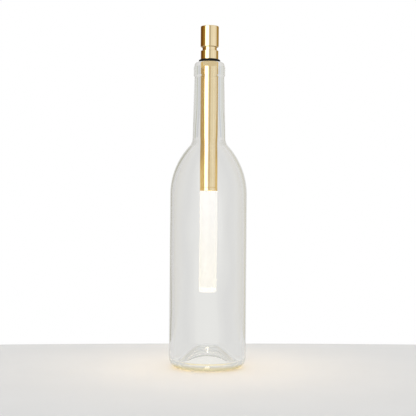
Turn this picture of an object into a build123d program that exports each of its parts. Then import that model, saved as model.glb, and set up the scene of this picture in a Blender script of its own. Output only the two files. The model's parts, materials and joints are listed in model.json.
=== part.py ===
from build123d import *
import math
import os

# A rechargeable brass light that stands in the mouth of a clear claret bottle.
# Millimetres, Z up, origin at the centre of the bottle's base. The light's sizes grow outwards
# from what it holds: socket, spindle, thread, head; cell, tube, mouth of the bottle.

# Fits
press_gap = 0.05          # radial gap of a glued or pressed fit
running_gap = 0.1         # radial gap of a fit that turns or slides
axial_gap = 0.05          # end play beside a washer that the head turns on
seat_gap = 0.1            # what the mouth ring keeps from the lip at rest
overrun = 1.0             # how far a cut runs past the face it opens
round_share = 0.47        # most of a run that one rounded corner may take

# Charging socket
socket_width = 8.94
socket_thickness = 3.2
socket_length = 7.4
socket_shell_wall = 0.3
socket_recess = 0.2
tongue_width = 6.7
tongue_thickness = 0.7
tongue_recess = 0.8
tongue_base_length = 2.2

# Circuit board and what stands on it
board_width = 8.6
board_thickness = 1.0
board_side_gap = 0.1
board_overlap = 5.0       # how far the board runs up behind the socket
chip_height = 0.9
charger_chip_side = 4.0
driver_chip_side = 3.0
coil_side = 4.6
coil_height = 2.5
coil_round = 0.8
capacitor_length = 1.6
capacitor_width = 0.8
capacitor_count = 4
status_lamp_length = 1.6
status_lamp_width = 0.8
status_lamp_height = 0.6
charger_chip_share = 0.74     # places along the board's free length
driver_chip_share = 0.52
coil_share = 0.34
capacitor_start_share = 0.58
capacitor_end_share = 0.68
switch_chip_width = 2.9
switch_chip_length = 1.5
switch_chip_height = 1.1
switch_chip_below_top = 1.2
switch_pocket_gap = 0.25

# Nylon plug round the socket, and the status light's pipe
surround_wall = 0.88
surround_length = 12.0
pipe_diameter = 1.5
pipe_gap = 0.05
pipe_extra_length = 1.0
pipe_side_share = 0.6         # of the plug's radius

# Spindle and its two-start thread
spindle_wall = 0.6
thread_pitch = 1.5
thread_starts = 2
thread_depth = 0.45
thread_height = 5.0
thread_root_width = 1.0
thread_crest_width = 0.4
thread_sink = 0.05            # how far a ridge roots in its core
thread_clearance = 0.15
thread_lead_in = 0.9
thread_run_out = 1.1

# Head
shoulder_step = 0.65          # neck radius over the thread's crest
counterbore_gap = 0.2
insert_wall = 0.65
insert_recess = 0.5
cap_wall = 1.0
cap_crown = 3.6
cap_headroom = 6.1
cap_top_round = 0.9
cap_rim_chamfer = 0.35
magnet_diameter = 6.0
magnet_thickness = 2.0
magnet_sunk_share = 0.5
magnet_gap = 0.05
washer_thickness = 0.8
seal_cord = 1.0
seal_depth = 1.5
gland_slack = 0.1
neck_land = 0.8

# Collar
collar_step = 0.1             # collar radius over the tube's
collar_band = 8.4
collar_web = 1.8
collar_edge_round = 0.25
neck_shown = 3.7
neck_root_round = 0.3
spigot_length = 12.0
spigot_wall = 1.05

# Mouth ring
ring_cord = 2.8
ring_gland_depth = 0.9

# Cell
cell_diameter = 14.0
cell_can_length = 63.5
cell_edge_round = 0.5
cell_can_wall = 0.3
cell_lid_thickness = 1.2
cell_core_gap = 0.15
cell_bead_depth = 0.5
cell_bead_width = 1.2
cell_bead_below_top = 3.0
button_diameter = 5.5
button_height = 1.5
button_round = 0.3
cell_washer_thickness = 0.4
cell_washer_inner_gap = 0.25
cell_washer_rim = 0.8
wrap_thickness = 0.15
wrap_gap = 0.02
wrap_lip = 1.2
tab_thickness = 0.2
tab_width = 3.0
tab_slot_gap = 0.2
tab_up_length = 3.3
minus_tab_width = 1.6
minus_tab_angle = 27.0
strip_thickness = 0.25
strip_width = 4.0
strip_gap = 0.2
pad_thickness = 1.5
minus_rise = 2.1

# Board carrier
carrier_floor = 2.0
floor_notch_share = 0.78

# Tube, and the slug and lamp in its lower end
casing_wall = 0.8
casing_length = 122.8
casing_edge_chamfer = 0.15
heat_sink_length = 8.0
strip_slot_gap = 0.1
strip_drop_share = 0.55       # of the slug's radius
heat_pad_thickness = 0.3
heat_pad_rim = 0.3
lamp_board_thickness = 1.2
lamp_chip_diameter = 6.4
lamp_chip_thickness = 0.9
lamp_chip_round = 0.4
lamp_gap = 0.3

# Ferrule and diffuser
ferrule_band = 3.2
ferrule_step = 0.05
ferrule_edge_chamfer = 0.2
ferrule_spigot = 6.0
ferrule_wall = 0.8
gasket_thickness = 0.4
gasket_rim = 0.1
diffuser_step = 0.1           # diffuser radius under the tube's
diffuser_length = 95.0
diffuser_edge_round = 0.3
diffuser_spigot_wall = 0.9
guide_gap = 0.1
end_height = 4.0
end_round = 1.6
end_spigot = 4.0
mirror_thickness = 0.3

# Bottle
bottle_height = 299.6
bottle_diameter = 75.4
glass_wall = 2.9
shoulder_start = 169.5
shoulder_round = 71.0
neck_round = 11.0
heel_round = 10.2
floor_height = 6.6
floor_round = 9.0
floor_slope_round = 7.0
punt_height = 18.4
punt_glass = 4.4
punt_tip_share = 0.26         # of the bottle's radius, where the punt's slope starts
punt_foot_share = 0.66
punt_inner_foot_share = 0.7
punt_tip_round = 9.0
punt_foot_round = 3.0
neck_clearance = 0.65         # between the tube and the mouth's bore
mouth_edge_round = 0.8
bore_depth = 45.0
neck_flare = 2.2
neck_base_wall = 4.75
neck_top_wall = 5.4
lip_wall = 4.7
lip_height = 5.4
lip_round = 3.0
lip_foot_round = 4.0
bead_wall = 6.3
bead_height = 8.5
bead_round = 1.5
bead_root_round = 0.8

# Radii that follow, socket outwards to the head
surround_radius = socket_width / 2 + surround_wall
spindle_bore_radius = surround_radius + press_gap
thread_root_radius = spindle_bore_radius + spindle_wall
thread_crest_radius = thread_root_radius + thread_depth
thread_lead = thread_pitch * thread_starts
insert_bore_radius = thread_crest_radius + thread_clearance
neck_radius = thread_crest_radius + shoulder_step
counterbore_radius = neck_radius + counterbore_gap
insert_radius = counterbore_radius + insert_wall
cap_bore_radius = insert_radius + press_gap
cap_radius = cap_bore_radius + cap_wall
seal_radius = counterbore_radius - running_gap - seal_cord / 2

# Radii that follow, cell outwards to the bottle's neck
cell_radius = cell_diameter / 2
strip_inner_radius = cell_radius + wrap_thickness + strip_gap
strip_outer_radius = strip_inner_radius + strip_thickness
casing_bore_radius = strip_outer_radius + strip_gap
casing_radius = casing_bore_radius + casing_wall
collar_radius = casing_radius + collar_step
spigot_radius = casing_bore_radius - press_gap
collar_bore_radius = spigot_radius - spigot_wall
pad_radius = strip_inner_radius - strip_thickness
ring_gland_radius = casing_radius - ring_gland_depth
ring_radius = ring_gland_radius + press_gap + ring_cord / 2
mouth_radius = casing_radius + neck_clearance
lip_radius = mouth_radius + lip_wall
bead_radius = mouth_radius + bead_wall
neck_top_radius = mouth_radius + neck_top_wall
neck_inner_base_radius = mouth_radius + neck_flare
neck_base_radius = neck_inner_base_radius + neck_base_wall
bottle_radius = bottle_diameter / 2

# Radii that follow, tube inwards to the light guide
ferrule_radius = casing_radius + ferrule_step
ferrule_bore_radius = spigot_radius - ferrule_wall
diffuser_radius = casing_radius - diffuser_step
diffuser_spigot_radius = ferrule_bore_radius - press_gap
diffuser_bore_radius = diffuser_spigot_radius - diffuser_spigot_wall
guide_radius = diffuser_bore_radius - guide_gap

# Heights that follow: the mouth ring rests on the rounded edge of the bottle's mouth
edge_offset = mouth_radius + mouth_edge_round - ring_radius
edge_reach = mouth_edge_round + ring_cord / 2 + seat_gap
ring_z = bottle_height - mouth_edge_round + math.sqrt(edge_reach**2 - edge_offset**2)
ring_gland_half = ring_cord / 2 + gland_slack
collar_foot_z = ring_z + ring_gland_half
collar_top_z = collar_foot_z + collar_band
collar_web_z = collar_top_z - collar_web
cap_rim_z = collar_top_z + neck_shown
insert_foot_z = cap_rim_z + insert_recess
seal_z = cap_rim_z + seal_depth
seal_gland_half = seal_cord / 2 + gland_slack
neck_top_z = seal_z + seal_gland_half + neck_land
washer_z = neck_top_z + axial_gap
counterbore_z = washer_z + washer_thickness + axial_gap
thread_z = counterbore_z + thread_lead_in
spindle_top_z = thread_z + thread_height + thread_run_out
cap_ceiling_z = spindle_top_z + cap_headroom
cap_top_z = cap_ceiling_z + cap_crown
magnet_z = cap_ceiling_z + magnet_thickness * (magnet_sunk_share - 1)

# Heights that follow, down the tube
casing_top_z = ring_z - ring_gland_half
spigot_foot_z = casing_top_z - spigot_length
casing_foot_z = casing_top_z - casing_length
ferrule_foot_z = casing_foot_z - ferrule_band
heat_sink_z = casing_foot_z + ferrule_spigot
heat_sink_top_z = heat_sink_z + heat_sink_length
lower_tab_z = heat_sink_top_z + pad_thickness
cell_z = lower_tab_z + tab_thickness
cell_top_z = cell_z + cell_can_length
button_top_z = cell_top_z + button_height
upper_pad_z = button_top_z + tab_thickness
carrier_z = upper_pad_z + pad_thickness
carrier_floor_z = carrier_z + carrier_floor
lamp_board_top_z = heat_sink_z - heat_pad_thickness
lamp_board_z = lamp_board_top_z - lamp_board_thickness
lamp_chip_z = lamp_board_z - lamp_chip_thickness
diffuser_top_z = lamp_chip_z - lamp_gap
diffuser_shoulder_z = ferrule_foot_z - gasket_thickness
diffuser_foot_z = diffuser_shoulder_z - diffuser_length
light_foot_z = diffuser_foot_z - end_height
end_spigot_top_z = diffuser_foot_z + end_spigot
guide_z = end_spigot_top_z + mirror_thickness

# Heights and places of the socket and the board
socket_top_z = spindle_top_z - socket_recess
socket_z = socket_top_z - socket_length
surround_z = spindle_top_z - surround_length
board_front_y = -socket_thickness / 2
board_back_y = board_front_y - board_thickness
board_top_z = socket_z + board_overlap
trough_half_width = board_width / 2 + board_side_gap


def corner_points(before, corner, after):
    """Start, middle and end of the arc that rounds a corner, its round limited by the two runs."""
    radius, height, rounding = corner
    runs = [(p[0] - radius, p[1] - height) for p in (before, after)]
    lengths = [math.hypot(*run) for run in runs]
    units = [(run[0] / length, run[1] / length) for run, length in zip(runs, lengths)]
    half = math.acos(sum(a * b for a, b in zip(*units))) / 2
    rounding = min(rounding, round_share * min(lengths) * math.tan(half))
    reach = rounding / math.tan(half)
    to_middle = rounding / math.sin(half) - rounding
    ends = [(radius + unit[0] * reach, height + unit[1] * reach) for unit in units]
    bisector = [a + b for a, b in zip(*units)]
    size = math.hypot(*bisector)
    middle = (radius + bisector[0] / size * to_middle, height + bisector[1] / size * to_middle)
    return ends[0], middle, ends[1]


def line_edge(start, end):
    return Edge.make_line((start[0], 0, start[1]), (end[0], 0, end[1]))


def arc_edge(start, middle, end):
    return Edge.make_three_point_arc(*[(p[0], 0, p[1]) for p in (start, middle, end)])


def path_edges(corners, closed=False):
    """Lines and arcs through (radius, height) or (radius, height, round) corners."""
    count = len(corners)
    pieces = []
    for index, corner in enumerate(corners):
        inside = closed or 0 < index < count - 1
        if len(corner) == 3 and inside:
            before = corners[index - 1]
            after = corners[(index + 1) % count]
            pieces.append(corner_points(before, corner, after))
        else:
            pieces.append((corner[:2],))
    edges = []
    for index, piece in enumerate(pieces):
        if len(piece) == 3:
            edges.append(arc_edge(*piece))
        if closed or index < count - 1:
            following = pieces[(index + 1) % count]
            edges.append(line_edge(piece[-1], following[0]))
    return edges


def turned(corners):
    """A solid turned about Z from a closed outline of corners."""
    return revolve(Face(Wire(path_edges(corners, closed=True))), axis=Axis.Z)


def disc(radius, low, high):
    return Pos(0, 0, low) * Cylinder(radius, high - low, align=(Align.CENTER, Align.CENTER, Align.MIN))


def tube(inner, outer, low, high):
    return turned([(inner, low), (outer, low), (outer, high), (inner, high)])


def block(x_range, y_range, z_range):
    """A box between two limits on each axis."""
    sizes = [high - low for low, high in (x_range, y_range, z_range)]
    corner = [low for low, high in (x_range, y_range, z_range)]
    return Pos(*corner) * Box(*sizes, align=(Align.MIN, Align.MIN, Align.MIN))


def centred_block(width, y_range, z_range):
    return block((-width / 2, width / 2), y_range, z_range)


def o_ring(radius, cord, height):
    return Pos(0, 0, height) * Torus(radius, cord / 2)


def band(inner, outer, low, high, middle_angle, width):
    """A strip bent round the axis, middle_angle degrees from +Y towards +X, width along the arc."""
    span = math.degrees(width / inner)
    outline = Face(Wire(path_edges([(inner, low), (outer, low), (outer, high), (inner, high)], closed=True)))
    strip = revolve(outline, axis=Axis.Z, revolution_arc=span)
    return strip.rotate(Axis.Z, 90 - middle_angle - span / 2)


def stadium(width, thickness, low, high):
    """An upright bar whose section is a rectangle with fully rounded ends."""
    middle = Box(width - thickness, thickness, high - low)
    reach = (width - thickness) / 2
    ends = [Pos(x, 0, 0) * Cylinder(thickness / 2, high - low) for x in (-reach, reach)]
    return Pos(0, 0, (low + high) / 2) * (middle + ends[0] + ends[1])


def thread_ridges(radius):
    """The thread's helical ridges about Z, one for each start, rooted in a wall of this radius."""
    root = radius - thread_sink
    path = Helix(pitch=thread_lead, height=thread_height, radius=root)
    section = Plane(origin=path @ 0, x_dir=(1, 0, 0), z_dir=path % 0)
    depth = thread_depth + thread_sink
    corners = [(0, -thread_root_width / 2), (depth, -thread_crest_width / 2),
               (depth, thread_crest_width / 2), (0, thread_root_width / 2)]
    profile = section * make_face(Polyline(*corners, close=True))
    ridge = Pos(0, 0, thread_z) * sweep(profile, path=path, is_frenet=True)
    return [ridge.rotate(Axis.Z, 360 / thread_starts * start) for start in range(thread_starts)]


def shoulder_edges(body_radius, body_round, base_radius, base_round, upward):
    """Two tangent arcs from an upright wall in to an upright neck, and the height where they end."""
    body_centre = (body_radius - body_round, shoulder_start)
    across = base_radius + base_round - body_centre[0]
    rise = math.sqrt((body_round + base_round)**2 - across**2)
    neck_centre = (base_radius + base_round, shoulder_start + rise)
    turn = math.atan2(rise, across)
    middle = turn / 2

    def on_body(angle):
        return (body_centre[0] + body_round * math.cos(angle), body_centre[1] + body_round * math.sin(angle))

    def on_neck(angle):
        return (neck_centre[0] - base_round * math.cos(angle), neck_centre[1] - base_round * math.sin(angle))

    body_arc = [on_body(0), on_body(middle), on_body(turn)]
    neck_arc = [on_neck(turn), on_neck(middle), on_neck(0)]
    neck_arc[0] = body_arc[2]
    if upward:
        return [arc_edge(*body_arc), arc_edge(*neck_arc)], neck_arc[2]
    return [arc_edge(*neck_arc[::-1]), arc_edge(*body_arc[::-1])], neck_arc[2]


def make_bottle():
    """Clear bottle: punt, heel, straight body, round shoulder, tapered neck, banded lip and bore."""
    tip_radius = bottle_radius * punt_tip_share
    foot_radius = bottle_radius * punt_foot_share
    inner_foot_radius = bottle_radius * punt_inner_foot_share
    inner_radius = bottle_radius - glass_wall
    apex = punt_height + punt_glass
    outer_arcs, neck_foot = shoulder_edges(bottle_radius, shoulder_round, neck_base_radius, neck_round, True)
    inner_arcs, inner_neck_foot = shoulder_edges(inner_radius, shoulder_round - glass_wall,
                                                 neck_inner_base_radius, neck_round + neck_base_wall, False)
    lip_foot = bottle_height - lip_height
    bead_foot = lip_foot - bead_height
    base = [(0, punt_height), (tip_radius, punt_height, punt_tip_round), (foot_radius, 0, punt_foot_round),
            (bottle_radius, 0, heel_round), (bottle_radius, shoulder_start)]
    finish = [neck_foot, (neck_top_radius, bead_foot, bead_root_round), (bead_radius, bead_foot, bead_round),
              (bead_radius, lip_foot, lip_foot_round), (lip_radius, bottle_height, lip_round),
              (mouth_radius, bottle_height, mouth_edge_round),
              (mouth_radius, bottle_height - bore_depth), inner_neck_foot]
    inside = [(inner_radius, shoulder_start), (inner_radius, floor_height, floor_round),
              (inner_foot_radius, floor_height, floor_slope_round), (tip_radius, apex, punt_tip_round),
              (0, apex)]
    edges = path_edges(base) + outer_arcs + path_edges(finish) + inner_arcs + path_edges(inside)
    edges.append(line_edge((0, apex), (0, punt_height)))
    return revolve(Face(Wire(edges)), axis=Axis.Z)


def make_collar():
    """Turned brass: spigot in the tube, gland for the mouth ring, band, neck with a seal gland, spindle."""
    seal_floor = seal_radius - seal_cord / 2 - press_gap
    body = turned([
        (collar_bore_radius, spigot_foot_z), (spigot_radius, spigot_foot_z),
        (spigot_radius, casing_top_z), (ring_gland_radius, casing_top_z), (ring_gland_radius, collar_foot_z),
        (collar_radius, collar_foot_z, collar_edge_round), (collar_radius, collar_top_z, collar_edge_round),
        (neck_radius, collar_top_z, neck_root_round), (neck_radius, seal_z - seal_gland_half),
        (seal_floor, seal_z - seal_gland_half), (seal_floor, seal_z + seal_gland_half),
        (neck_radius, seal_z + seal_gland_half), (neck_radius, neck_top_z),
        (thread_root_radius, neck_top_z), (thread_root_radius, spindle_top_z, thread_depth),
        (spindle_bore_radius, spindle_top_z), (spindle_bore_radius, collar_web_z),
        (collar_bore_radius, collar_web_z)])
    for ridge in thread_ridges(thread_root_radius):
        body += ridge
    return body


def make_neck_ring():
    return o_ring(ring_radius, ring_cord, ring_z)


def make_cap_seal():
    return o_ring(seal_radius, seal_cord, seal_z)


def make_cap_washer():
    return tube(insert_bore_radius, counterbore_radius - running_gap, washer_z, washer_z + washer_thickness)


def make_cap_shell():
    """The brass head: a deep cup with a pocket for the magnet in its ceiling."""
    shell = turned([
        (0, cap_top_z), (0, cap_ceiling_z), (cap_bore_radius, cap_ceiling_z), (cap_bore_radius, cap_rim_z),
        (cap_radius - cap_rim_chamfer, cap_rim_z), (cap_radius, cap_rim_z + cap_rim_chamfer),
        (cap_radius, cap_top_z, cap_top_round)])
    pocket_top = magnet_z + magnet_thickness
    return shell - disc(magnet_diameter / 2 + magnet_gap, cap_ceiling_z - overrun, pocket_top)


def make_cap_insert():
    """Nylon sleeve with a counterbore for the washer and seal, and the female thread above it."""
    sleeve = turned([
        (counterbore_radius, insert_foot_z), (insert_radius, insert_foot_z), (insert_radius, cap_ceiling_z),
        (insert_bore_radius, cap_ceiling_z), (insert_bore_radius, counterbore_z),
        (counterbore_radius, counterbore_z)])
    for groove in thread_ridges(insert_bore_radius):
        sleeve -= groove
    return sleeve


def make_cap_magnet():
    return disc(magnet_diameter / 2, magnet_z, magnet_z + magnet_thickness)


def make_charge_socket():
    """Open steel shell of the charging socket."""
    inner_width = socket_width - 2 * socket_shell_wall
    inner_thickness = socket_thickness - 2 * socket_shell_wall
    bore = stadium(inner_width, inner_thickness, socket_z - overrun, socket_top_z + overrun)
    return stadium(socket_width, socket_thickness, socket_z, socket_top_z) - bore


def make_socket_tongue():
    inner_width = socket_width - 2 * socket_shell_wall - press_gap
    inner_thickness = socket_thickness - 2 * socket_shell_wall - press_gap
    base = stadium(inner_width, inner_thickness, socket_z, socket_z + tongue_base_length)
    half = tongue_thickness / 2
    return base + centred_block(tongue_width, (-half, half), (socket_z, socket_top_z - tongue_recess))


def switch_chip_top():
    return board_top_z - switch_chip_below_top


def pipe_place():
    return Pos(0, surround_radius * pipe_side_share, 0)


def make_socket_surround():
    """Nylon plug in the spindle, cut for the socket, the board, the magnetic switch and the light pipe."""
    plug = disc(surround_radius, surround_z, spindle_top_z)
    low = surround_z - overrun
    high = spindle_top_z + overrun
    plug -= stadium(socket_width + 2 * press_gap, socket_thickness + 2 * press_gap, low, high)
    plug -= centred_block(board_width + 2 * press_gap, (board_back_y - press_gap, board_front_y),
                          (low, board_top_z + press_gap))
    plug -= centred_block(switch_chip_width + 2 * switch_pocket_gap,
                          (board_back_y - switch_chip_height - switch_pocket_gap, board_front_y),
                          (low, switch_chip_top() + switch_pocket_gap))
    return plug - pipe_place() * disc(pipe_diameter / 2 + pipe_gap, low, high)


def make_status_pipe():
    return pipe_place() * disc(pipe_diameter / 2, surround_z - pipe_extra_length, spindle_top_z)


def make_charge_board():
    return centred_block(board_width, (board_back_y, board_front_y), (carrier_floor_z, board_top_z))


def on_board(width, length, height, share, across=0.0):
    """A component on the board's front, its middle at a share of the free length below the socket plug."""
    middle = carrier_floor_z + share * (surround_z - carrier_floor_z)
    return block((across - width / 2, across + width / 2), (board_front_y, board_front_y + height),
                 (middle - length / 2, middle + length / 2))


def make_board_parts():
    """Charger chip, driver chip, coil, a row of capacitors and the status lamp, each a solid of its own."""
    coil = on_board(coil_side, coil_side, coil_height, coil_share)
    parts = [
        on_board(charger_chip_side, charger_chip_side, chip_height, charger_chip_share),
        on_board(driver_chip_side, driver_chip_side, chip_height, driver_chip_share),
        fillet(coil.edges().filter_by(Axis.Y), coil_round),
    ]
    for index in range(capacitor_count):
        step = index / (capacitor_count - 1)
        share = capacitor_start_share + (capacitor_end_share - capacitor_start_share) * (index % 2)
        across = (step - 0.5) * (board_width - 2 * capacitor_width)
        parts.append(on_board(capacitor_width, capacitor_length, capacitor_width, share, across))
    lamp_top = surround_z - pipe_extra_length
    parts.append(centred_block(status_lamp_length, (board_front_y, board_front_y + status_lamp_height),
                               (lamp_top - status_lamp_width, lamp_top)))
    return Compound(children=parts)


def make_switch_chip():
    top = switch_chip_top()
    return centred_block(switch_chip_width, (board_back_y - switch_chip_height, board_back_y),
                         (top - switch_chip_length, top))


def make_board_carrier():
    """Nylon trough: wide in the tube, narrow in the collar, with a floor that the cell's pad meets."""
    narrow = collar_bore_radius - press_gap
    carrier = disc(spigot_radius, carrier_z, spigot_foot_z) + disc(narrow, spigot_foot_z, collar_web_z)
    carrier -= centred_block(2 * trough_half_width, (board_back_y, casing_radius),
                             (carrier_floor_z, collar_web_z + overrun))
    carrier -= centred_block(2 * trough_half_width, (cell_radius * floor_notch_share, casing_radius),
                             (carrier_z - overrun, carrier_floor_z + overrun))
    return carrier - tab_slot(carrier_z, carrier_floor_z)


def tab_slot(low, high):
    """The slot that the plus tab passes through."""
    return centred_block(tab_width + 2 * tab_slot_gap,
                         (board_front_y - tab_slot_gap, board_front_y + tab_thickness + tab_slot_gap),
                         (low - overrun, high + overrun))


def beaded_wall(radius):
    """Corners up a can's wall, with the bead rolled in below its top."""
    bead = cell_top_z - cell_bead_below_top
    return [(radius, bead - cell_bead_width, cell_bead_depth),
            (radius - cell_bead_depth, bead - cell_bead_width / 2, cell_bead_depth),
            (radius, bead, cell_bead_depth)]


def make_cell_can():
    """Steel can, open at the top, with a rolled bead below its rim."""
    inner = cell_radius - cell_can_wall
    floor = cell_z + cell_can_wall
    return turned([
        (0, cell_z), (cell_radius, cell_z, cell_edge_round), *beaded_wall(cell_radius),
        (cell_radius, cell_top_z), (inner, cell_top_z), *beaded_wall(inner)[::-1],
        (inner, floor), (0, floor)])


def make_cell_core():
    """The wound foils inside the can, up to just below the bead."""
    top = cell_top_z - cell_bead_below_top - cell_bead_width - cell_bead_depth
    return disc(cell_radius - cell_can_wall - cell_core_gap, cell_z + cell_can_wall, top)


def make_cell_lid():
    """The can's lid with its raised button."""
    lid_radius = cell_radius - cell_can_wall - press_gap
    button_radius = button_diameter / 2
    under = cell_top_z - cell_lid_thickness
    return turned([
        (0, under), (lid_radius, under), (lid_radius, cell_top_z), (button_radius, cell_top_z),
        (button_radius, button_top_z, button_round), (0, button_top_z)])


def make_cell_washer():
    return tube(button_diameter / 2 + cell_washer_inner_gap, cell_radius - cell_washer_rim,
                cell_top_z, cell_top_z + cell_washer_thickness)


def make_cell_wrap():
    """Shrink sleeve round the can, turned in over its top rim."""
    inner = cell_radius + wrap_gap
    outer = cell_radius + wrap_thickness
    washer_top = cell_top_z + cell_washer_thickness
    return turned([
        (inner, cell_z), (outer, cell_z), (outer, washer_top + wrap_thickness),
        (cell_radius - wrap_lip, washer_top + wrap_thickness), (cell_radius - wrap_lip, washer_top),
        (inner, washer_top)])


def make_plus_tab():
    reach = button_diameter / 2
    flat = centred_block(tab_width, (board_front_y, reach), (button_top_z, upper_pad_z))
    return flat + centred_block(tab_width, (board_front_y, board_front_y + tab_thickness),
                                (button_top_z, carrier_floor_z + tab_up_length))


def make_minus_tab():
    """Nickel strip from under the cell, up its side and in to the board."""
    turn = math.radians(minus_tab_angle)
    middle_x = strip_inner_radius * math.sin(turn)
    top = carrier_floor_z + minus_rise
    under = centred_block(minus_tab_width, (0, strip_inner_radius + tab_thickness / 2),
                          (lower_tab_z, cell_z)).rotate(Axis.Z, -minus_tab_angle)
    side = band(strip_inner_radius, strip_inner_radius + tab_thickness, lower_tab_z, top,
                minus_tab_angle, minus_tab_width)
    tail = block((middle_x - minus_tab_width / 2, middle_x + minus_tab_width / 2),
                 (board_front_y, strip_inner_radius * math.cos(turn)), (top - tab_thickness, top))
    return under + side + tail


def strip_drop_y():
    """Where the lamp strip goes down through the slug."""
    return spigot_radius * strip_drop_share


def strip_slot(low, high):
    """The slot that the lamp strip passes through."""
    return centred_block(strip_width + 2 * strip_slot_gap,
                         (strip_drop_y() - strip_slot_gap, strip_drop_y() + strip_thickness + strip_slot_gap),
                         (low - overrun, high + overrun))


def make_lamp_strip():
    """Flat lead: from the board out to the tube's wall, down past the cell, and in through the slug."""
    turn_z = carrier_floor_z + tab_up_length + strip_gap + strip_thickness
    low = heat_sink_top_z - strip_thickness
    side = band(strip_inner_radius, strip_outer_radius, low, turn_z, 0, strip_width)
    tail = centred_block(strip_width, (board_front_y, strip_inner_radius), (turn_z - strip_thickness, turn_z))
    across = centred_block(strip_width, (strip_drop_y(), strip_inner_radius), (low, heat_sink_top_z))
    drop = centred_block(strip_width, (strip_drop_y(), strip_drop_y() + strip_thickness),
                         (lamp_board_top_z, heat_sink_top_z))
    return side + tail + across + drop


def make_upper_pad():
    return disc(pad_radius, upper_pad_z, carrier_z) - tab_slot(upper_pad_z, carrier_z)


def make_lower_pad():
    return disc(pad_radius, heat_sink_top_z, lower_tab_z)


def make_heat_sink():
    """Aluminium slug with a channel and a slot for the lamp strip."""
    slug = disc(spigot_radius, heat_sink_z, heat_sink_top_z)
    slug -= centred_block(strip_width + 2 * strip_slot_gap, (strip_drop_y() - strip_slot_gap, casing_radius),
                          (heat_sink_top_z - strip_thickness - strip_slot_gap, heat_sink_top_z + overrun))
    return slug - strip_slot(heat_sink_z, heat_sink_top_z)


def make_heat_pad():
    pad = disc(ferrule_bore_radius - heat_pad_rim, lamp_board_top_z, heat_sink_z)
    return pad - strip_slot(lamp_board_top_z, heat_sink_z)


def make_lamp_board():
    return disc(ferrule_bore_radius - press_gap, lamp_board_z, lamp_board_top_z)


def make_lamp_chip():
    radius = lamp_chip_diameter / 2
    return turned([(0, lamp_chip_z), (radius, lamp_chip_z, lamp_chip_round), (radius, lamp_board_z),
                   (0, lamp_board_z)])


def make_casing_tube():
    chamfer = casing_edge_chamfer
    return turned([
        (casing_bore_radius, casing_foot_z), (casing_radius - chamfer, casing_foot_z),
        (casing_radius, casing_foot_z + chamfer), (casing_radius, casing_top_z - chamfer),
        (casing_radius - chamfer, casing_top_z), (casing_bore_radius, casing_top_z)])


def make_ferrule():
    """Brass ring that closes the tube and takes the diffuser's neck."""
    chamfer = ferrule_edge_chamfer
    return turned([
        (ferrule_bore_radius, ferrule_foot_z), (ferrule_radius - chamfer, ferrule_foot_z),
        (ferrule_radius, ferrule_foot_z + chamfer), (ferrule_radius, casing_foot_z - chamfer),
        (ferrule_radius - chamfer, casing_foot_z), (spigot_radius, casing_foot_z),
        (spigot_radius, heat_sink_z), (ferrule_bore_radius, heat_sink_z)])


def make_diffuser_gasket():
    return tube(diffuser_spigot_radius + press_gap, diffuser_radius - gasket_rim,
                diffuser_shoulder_z, ferrule_foot_z)


def make_diffuser_tube():
    """Opal tube with a thinner neck at the top that goes up into the ferrule."""
    return turned([
        (diffuser_bore_radius, diffuser_foot_z), (diffuser_radius, diffuser_foot_z),
        (diffuser_radius, diffuser_shoulder_z, diffuser_edge_round),
        (diffuser_spigot_radius, diffuser_shoulder_z), (diffuser_spigot_radius, diffuser_top_z),
        (diffuser_bore_radius, diffuser_top_z)])


def make_diffuser_end():
    """Opal plug with a rounded lower edge and a spigot in the tube."""
    plug_radius = diffuser_bore_radius - press_gap
    return turned([
        (0, light_foot_z), (diffuser_radius, light_foot_z, end_round), (diffuser_radius, diffuser_foot_z),
        (plug_radius, diffuser_foot_z), (plug_radius, end_spigot_top_z), (0, end_spigot_top_z)])


def make_end_mirror():
    return disc(guide_radius, end_spigot_top_z, guide_z)


def make_light_guide():
    return disc(guide_radius, guide_z, diffuser_top_z)


pieces = {
    "bottle": make_bottle,
    "collar": make_collar,
    "neck_ring": make_neck_ring,
    "cap_seal": make_cap_seal,
    "cap_washer": make_cap_washer,
    "cap_shell": make_cap_shell,
    "cap_insert": make_cap_insert,
    "cap_magnet": make_cap_magnet,
    "charge_socket": make_charge_socket,
    "socket_tongue": make_socket_tongue,
    "socket_surround": make_socket_surround,
    "status_pipe": make_status_pipe,
    "charge_board": make_charge_board,
    "board_parts": make_board_parts,
    "switch_chip": make_switch_chip,
    "board_carrier": make_board_carrier,
    "cell_can": make_cell_can,
    "cell_core": make_cell_core,
    "cell_lid": make_cell_lid,
    "cell_washer": make_cell_washer,
    "cell_wrap": make_cell_wrap,
    "plus_tab": make_plus_tab,
    "minus_tab": make_minus_tab,
    "lamp_strip": make_lamp_strip,
    "upper_pad": make_upper_pad,
    "lower_pad": make_lower_pad,
    "heat_sink": make_heat_sink,
    "heat_pad": make_heat_pad,
    "lamp_board": make_lamp_board,
    "lamp_chip": make_lamp_chip,
    "casing_tube": make_casing_tube,
    "ferrule": make_ferrule,
    "diffuser_gasket": make_diffuser_gasket,
    "diffuser_tube": make_diffuser_tube,
    "diffuser_end": make_diffuser_end,
    "end_mirror": make_end_mirror,
    "light_guide": make_light_guide,
}

os.makedirs("parts", exist_ok=True)
for name, make in pieces.items():
    export_step(make(), f"parts/{name}.step")
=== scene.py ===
"""Looks of a brass light in the mouth of a clear claret bottle: glass, turned brass and an opal tube."""
import json
import math

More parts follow.
